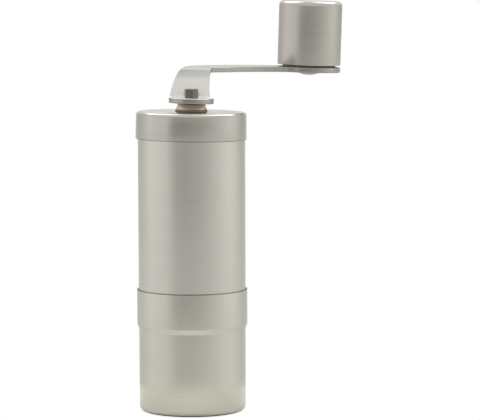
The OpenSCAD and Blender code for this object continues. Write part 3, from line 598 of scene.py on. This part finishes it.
def metal(name, dark, light, roughness, roughSpread, anisotropy, streak, mottle, bump, paintedShade=None):
    # streak: pattern scale per metre along X, Y, Z, so a large Z number draws fine rings round the axis;
    # mottle: scale per metre of the patches of tone, so 30 makes them 33 mm wide and 120 8 mm;
    # bump: depth of the scratches in millimetres;
    # paintedShade: heights in millimetres between which the metal's colour is darkened as painted shade, and what
    # is left of its tone
    material, tree = startMaterial(name)
    place = addNode(tree, "ShaderNodeTexCoord").outputs["Object"]
    lines = addNode(tree, "ShaderNodeMapping", {"Vector": place, "Scale": streak})
    scratches = addNode(tree, "ShaderNodeTexNoise", {
        "Vector": lines.outputs["Vector"], "Scale": 1.0, "Detail": 4.0, "Roughness": 0.65,
    }).outputs["Fac"]
    patches = addNode(tree, "ShaderNodeTexNoise", {
        "Vector": place, "Scale": mottle, "Detail": 3.0,
    }).outputs["Fac"]
    both = addNode(tree, "ShaderNodeMix", {"Factor": 0.4, "A": scratches, "B": patches}).outputs["Result"]
    spread = addNode(tree, "ShaderNodeMapRange", {"Value": both, **noiseRange}).outputs["Result"]
    colour = addNode(tree, "ShaderNodeMix", {
        0: spread, 6: toLinear(dark), 7: toLinear(light),
    }, data_type="RGBA").outputs[2]
    # painted shade: the colour is scaled down between the two heights
    if paintedShade:
        height = addNode(tree, "ShaderNodeSeparateXYZ", {"Vector": place}).outputs["Z"]
        left = addNode(tree, "ShaderNodeMapRange", {
            "Value": height, "From Min": paintedShade[0] * mm, "From Max": paintedShade[1] * mm, "To Min": 1.0,
            "To Max": paintedShade[2],
        }).outputs["Result"]
        darker = addNode(tree, "ShaderNodeVectorMath", {0: colour, "Scale": left}, operation="SCALE")
        colour = darker.outputs[0]
    gloss = addNode(tree, "ShaderNodeMapRange", {
        "Value": scratches, **noiseRange,
        "To Min": roughness - roughSpread, "To Max": roughness + roughSpread,
    }).outputs["Result"]
    relief = addNode(tree, "ShaderNodeBump", {"Height": scratches, "Strength": 1.0, "Distance": bump * mm})
    shader = addNode(tree, "ShaderNodeBsdfPrincipled", {
        "Base Color": colour, "Metallic": 1.0, "Roughness": gloss,
        "Anisotropic": anisotropy, "Normal": relief.outputs["Normal"],
    })
    addNode(tree, "ShaderNodeOutputMaterial", {"Surface": shader.outputs["BSDF"]})
    return material


def moulded(name, dark, light, roughness, grain, bump, roughSpread=0.05, cloudScale=90.0):
    # a fine even grain from the mould, and slow changes of tone; grain: its scale per metre;
    # bump: the grain's depth in millimetres
    material, tree = startMaterial(name)
    place = addNode(tree, "ShaderNodeTexCoord").outputs["Object"]
    texture = addNode(tree, "ShaderNodeTexNoise", {
        "Vector": place, "Scale": grain, "Detail": 2.0,
    }).outputs["Fac"]
    cloud = addNode(tree, "ShaderNodeTexNoise", {
        "Vector": place, "Scale": cloudScale, "Detail": 2.0,
    }).outputs["Fac"]
    colour = addNode(tree, "ShaderNodeMix", {
        0: cloud, 6: toLinear(dark), 7: toLinear(light),
    }, data_type="RGBA").outputs[2]
    gloss = addNode(tree, "ShaderNodeMapRange", {
        "Value": texture, **noiseRange,
        "To Min": roughness - roughSpread, "To Max": roughness + roughSpread,
    }).outputs["Result"]
    relief = addNode(tree, "ShaderNodeBump", {"Height": texture, "Strength": 1.0, "Distance": bump * mm})
    shader = addNode(tree, "ShaderNodeBsdfPrincipled", {
        "Base Color": colour, "Roughness": gloss, "IOR": 1.5, "Normal": relief.outputs["Normal"],
    })
    addNode(tree, "ShaderNodeOutputMaterial", {"Surface": shader.outputs["BSDF"]})
    return material


# pattern scales per metre along X, Y, Z; all of them are coarser than the real ones, so that they show
rings = (25.0, 25.0, 2200.0)  # brushing: streaks 40 mm long and 0.45 mm apart
toolMarks = (60.0, 60.0, 3000.0)  # a lathe's marks, 17 mm long and 0.33 mm apart
tumbled = (1400.0, 1400.0, 1400.0)  # grains of 0.7 mm with no direction
sheared = (900.0, 900.0, 300.0)  # streaks 3.3 mm long through the plate, 1.1 mm apart
machined = (300.0, 300.0, 1800.0)  # marks 3.3 mm long, 0.55 mm apart
fineGrain = (700.0, 700.0, 700.0)  # spots of 1.4 mm
coarseGrain = (500.0, 500.0, 500.0)  # spots of 2 mm

# drawn stainless, satin brushed round the body: soft vertical bands of light, barely visible rings
tubeSteel = metal("satinStainlessTube", "#bcb8b0", "#c2bfb7", 0.27, 0.008, 0.7, rings, 30.0, 0.0005)
cupSteel = metal("satinStainlessCup", "#bbb8ad", "#c2bfb4", 0.27, 0.008, 0.7, rings, 30.0, 0.0005)
# the lid has been handled more, so it is patchier and a little darker
lidSteel = metal("satinStainlessLid", "#aca8a0", "#b5b1a9", 0.19, 0.02, 0.6, rings, 60.0, 0.0008)
knobSteel = metal("satinStainlessKnob", "#aca8a0", "#b3afa7", 0.24, 0.01, 0.7, rings, 50.0, 0.0007)
# stamped stainless plate, tumbled: an even silky shine with a fine grain and no direction
# painted shade: the upper bend and the arm are coloured a shade darker by height, which dims the light the bend
# catches
crankSteel = metal(
    "tumbledStainless", "#d6d4ce", "#dddbd6", 0.41, 0.03, 0.0, tumbled, 60.0, 0.003,
    paintedShade=(crankZ + 10.3, crankZ + 14.3, 0.56),
)
# the plate's sheared edge: darker and smoother than its faces
edgeSteel = metal("shearedStainless", "#96938c", "#a19e97", 0.17, 0.03, 0.0, sheared, 80.0, 0.003)
# machined bar: darker, sharper reflections
shaftSteel = metal("machinedStainless", "#66635d", "#74716a", 0.16, 0.04, 0.0, machined, 120.0, 0.003)
innerSteel = metal("plainStainless", "#96938d", "#aaa69f", 0.32, 0.04, 0.0, fineGrain, 120.0, 0.005)
# oiled spring steel: dark, bluish, glossy
springSteel = metal("oiledSpringSteel", "#5c5c5f", "#75757a", 0.28, 0.04, 0.0, coarseGrain, 150.0, 0.003)
# turned bronze, dulled by handling: a brownish grey with darker patches
collarBronze = metal("turnedBronze", "#b4a995", "#c4baa7", 0.22, 0.04, 0.3, toolMarks, 260.0, 0.002)
# painted shade: the flange at the collar's foot is a darker brown, standing in for the shade there
flangeShadeBronze = metal("brownedBronze", "#736959", "#837868", 0.3, 0.04, 0.3, toolMarks, 260.0, 0.003)
# painted shade on the cup's lip and foot and the lid's lower lip: dull, dark grey where shade falls between the
# parts and on the table
paintedShadeEdge = metal("rubbedSteelEdge", "#55514b", "#67635c", 0.4, 0.05, 0.0, coarseGrain, 120.0, 0.004)
lidLipShade = metal("dullSteelEdge", "#625f58", "#6f6b64", 0.35, 0.05, 0.0, coarseGrain, 120.0, 0.004)
# glass filled nylon: near black, matt, with the mould's grain, coarser than the real one at 0.4 mm
blackNylon = moulded("mouldedBlackNylon", "#1b1b1c", "#242425", 0.48, 2500.0, 0.01)
# the washer of the same nylon, in a lighter brownish grey
wornNylon = moulded("wornNylon", "#7f7768", "#8b8374", 0.42, 2500.0, 0.01)
# acetal bearings: milky white, slightly waxy, grain drawn at 0.6 mm
whiteAcetal = moulded("whiteAcetal", "#dcd9d0", "#e8e5dd", 0.35, 1800.0, 0.004)
# sintered alumina burrs: warm white, dry, slightly rough, grit drawn at 0.7 mm
burrCeramic = moulded("sinteredCeramic", "#ddd7c9", "#eae5d8", 0.5, 1500.0, 0.012)

# finish of each of the record's material slots, for the CAD nodes that show as they are
finishes = {
    "cup_steel": cupSteel, "tube_steel": tubeSteel, "lid_steel": lidSteel, "crank_steel": crankSteel,
    "knob_steel": knobSteel, "shaft_steel": shaftSteel, "inner_steel": innerSteel,
    "spring_steel": springSteel, "collar_bronze": collarBronze, "black_plastic": blackNylon,
    "white_plastic": whiteAcetal, "ceramic": burrCeramic,
}
# finish of each new piece, and a second one where it has faces marked 1
pieceFinish = {
    "cupShell": (cupSteel, paintedShadeEdge), "tubeShell": (tubeSteel,), "lidCap": (lidSteel, lidLipShade),
    "collarRing": (collarBronze, flangeShadeBronze), "shaftBar": (shaftSteel, innerSteel),
    "crankPlate": (crankSteel, edgeSteel), "knobShell": (knobSteel,), "knobPin": (innerSteel,),
    "knobWasher": (wornNylon,),
}
for name, piece in pieces.items():
    for finish in pieceFinish[name]:
        piece.data.materials.append(finish)
slotOf = {part["node"]: part["material_slot"] for part in frame["record"]["subparts"]}
for name, node in nodes.items():
    node.material_slots[0].material = finishes[slotOf[name]]
print("materials set")


# floor, world, lamp and camera

studio = {
    # the floor's and the lamps' places and sizes are in metres
    "floorR": 0.075, "floorZ": -0.0001, "floorColour": "#eeedea", "floorSteps": 96,
    # share of the floor that glows white for the camera and for reflections, and how brightly
    "floorShare": 0.75, "floorGlint": 0.15, "floorGlow": 1.1,
    "lamps": {"leftSoftbox": (-0.68, 0.52, 1.3), "rightSoftbox": (0.64, 0.52, 1.3)},
    "lampSize": 1.0, "lampPower": 7.6, "lampAim": (0, 0, 0.1),
    # brightness of the room overhead and below the horizon, and the heights of a ray between which
    # each sets in; softLight: the share of it that reaches dull surfaces
    "overhead": 1.08, "overheadRise": (0.05, 0.35),
    "below": 0.98, "belowFall": (-0.03, -0.15), "belowShare": 0.5, "softLight": 0.9,
    # brightness of the room by bearing in degrees, 0 behind the camera and 90 on the right,
    # and its blue against its red and green
    "blueShare": 0.99,
    "bearings": [
        (-180, 0.9), (-160, 0.8), (-142, 0.69), (-118, 0.95), (-95, 1.27), (-75, 1.1), (-50, 1.08),
        (-44, 0.74), (-34, 0.53), (-18, 0.49), (0, 0.55), (20, 0.62), (45, 0.84), (70, 1.1), (90, 1.28),
        (108, 1.1), (135, 0.69), (160, 0.8), (180, 0.9),
    ],
}


def raySeen(tree, names, share=1.0):  # the share for the named kinds of ray, 0 for all others
    path = addNode(tree, "ShaderNodeLightPath")
    total = 0.0
    for name in names:
        ray = addNode(tree, "ShaderNodeMath", {0: path.outputs[name], 1: share}, operation="MULTIPLY")
        both = addNode(tree, "ShaderNodeMath", {0: total, 1: ray.outputs[0]}, operation="MAXIMUM")
        total = both.outputs[0]
    return total


def studioFloor():
    # a round white table under the object; beyond it the world is as white
    a = np.arange(studio["floorSteps"]) * 2 * math.pi / studio["floorSteps"]
    rim = np.stack([studio["floorR"] * np.cos(a), studio["floorR"] * np.sin(a), 0 * a + studio["floorZ"]], 1)
    mesh = bpy.data.meshes.new("studioFloor")
    mesh.from_pydata(rim.tolist(), [], [list(range(studio["floorSteps"]))])
    floor = bpy.data.objects.new("studioFloor", mesh)
    scene.collection.objects.link(floor)
    material, tree = startMaterial("whiteSweep")
    seen = raySeen(tree, ["Is Camera Ray", "Is Transmission Ray"], studio["floorShare"])
    glint = raySeen(tree, ["Is Glossy Ray"], studio["floorGlint"])
    share = addNode(tree, "ShaderNodeMath", {0: seen, 1: glint}, operation="MAXIMUM").outputs[0]
    paper = addNode(tree, "ShaderNodeBsdfDiffuse", {"Color": toLinear(studio["floorColour"])})
    glow = addNode(tree, "ShaderNodeEmission", {"Color": (1, 1, 1, 1), "Strength": studio["floorGlow"]})
    mixed = addNode(tree, "ShaderNodeMixShader", {0: share, 1: paper.outputs[0], 2: glow.outputs[0]})
    addNode(tree, "ShaderNodeOutputMaterial", {"Surface": mixed.outputs[0]})
    mesh.materials.append(material)


def studioWorld():
    # plain white to the camera; metal and dull surfaces get the brightness of each bearing instead
    world = bpy.data.worlds.new("paleStudio")
    world.use_nodes = True
    scene.world = world
    tree = world.node_tree
    tree.nodes.clear()
    way = addNode(tree, "ShaderNodeTexCoord").outputs["Generated"]
    axes = addNode(tree, "ShaderNodeSeparateXYZ", {"Vector": way})
    # the bearing of a ray is the angle of (X, -Y)
    front = addNode(tree, "ShaderNodeMath", {0: axes.outputs["Y"], 1: -1}, operation="MULTIPLY")
    bearing = addNode(tree, "ShaderNodeMath", {
        0: axes.outputs["X"], 1: front.outputs[0],
    }, operation="ARCTAN2")
    share = addNode(tree, "ShaderNodeMapRange", {
        "Value": bearing.outputs[0], "From Min": -math.pi, "From Max": math.pi,
    })
    ramp = addNode(tree, "ShaderNodeValToRGB", {"Fac": share.outputs["Result"]})
    stops = ramp.color_ramp.elements
    for degrees, _ in studio["bearings"][1:-1]:
        stops.new(degrees / 360 + 0.5)
    for stop, (degrees, level) in zip(stops, studio["bearings"]):
        stop.position = degrees / 360 + 0.5
        stop.color = (level, level, level * studio["blueShare"], 1)
    # overhead the room is evenly bright, and below the horizon the bench lightens it
    riseStart, riseEnd = studio["overheadRise"]
    fallStart, fallEnd = studio["belowFall"]
    above = addNode(tree, "ShaderNodeMapRange", {
        "Value": axes.outputs["Z"], "From Min": riseStart, "From Max": riseEnd,
    }).outputs["Result"]
    under = addNode(tree, "ShaderNodeMapRange", {
        "Value": axes.outputs["Z"], "From Min": fallStart, "From Max": fallEnd,
        "To Max": studio["belowShare"],
    }).outputs["Result"]
    room = addNode(tree, "ShaderNodeMix", {
        0: above, 6: ramp.outputs["Color"], 7: [studio["overhead"]] * 3 + [1],
    }, data_type="RGBA").outputs[2]
    bench = addNode(tree, "ShaderNodeMix", {
        0: under, 6: room, 7: [studio["below"]] * 3 + [1],
    }, data_type="RGBA").outputs[2]
    seen = raySeen(tree, ["Is Camera Ray", "Is Glossy Ray", "Is Transmission Ray"])
    strength = addNode(tree, "ShaderNodeMapRange", {
        "Value": seen, "To Min": studio["softLight"], "To Max": 1.0,
    }).outputs["Result"]
    roomLight = addNode(tree, "ShaderNodeBackground", {"Color": bench, "Strength": strength})
    white = addNode(tree, "ShaderNodeBackground", {"Color": (1, 1, 1, 1), "Strength": 1.0})
    direct = raySeen(tree, ["Is Camera Ray"])
    chosen = addNode(tree, "ShaderNodeMixShader", {0: direct, 1: roomLight.outputs[0], 2: white.outputs[0]})
    addNode(tree, "ShaderNodeOutputWorld", {"Surface": chosen.outputs[0]})


def studioLamp(name, place):  # a square softbox aimed at the object's middle
    lamp = bpy.data.lights.new(name, "AREA")
    lamp.shape = "SQUARE"
    lamp.size = studio["lampSize"]
    lamp.energy = studio["lampPower"]
    holder = bpy.data.objects.new(name, lamp)
    scene.collection.objects.link(holder)
    holder.location = place
    aim = Vector(studio["lampAim"]) - holder.location
    holder.rotation_euler = aim.to_track_quat("-Z", "Y").to_euler()


view = {  # camera's place in metres, its look down and its roll in degrees
    "place": (0.022, -1.2678, 0.21048), "down": 5.421, "roll": 0.2, "lens": 213.21, "sensor": 36, "far": 50,
}


def studioCamera():  # from the front, looking slightly down
    lens = bpy.data.cameras.new("studioCamera")
    lens.lens = view["lens"]
    lens.sensor_width = view["sensor"]
    lens.sensor_fit = "HORIZONTAL"
    lens.clip_end = view["far"]
    holder = bpy.data.objects.new("studioCamera", lens)
    scene.collection.objects.link(holder)
    holder.location = view["place"]
    holder.rotation_euler = (math.radians(90 - view["down"]), math.radians(view["roll"]), 0)
    scene.camera = holder


studioFloor()
studioWorld()
for name, place in studio["lamps"].items():
    studioLamp(name, place)
studioCamera()
scene.view_settings.view_transform = "Standard"
print("studio set")
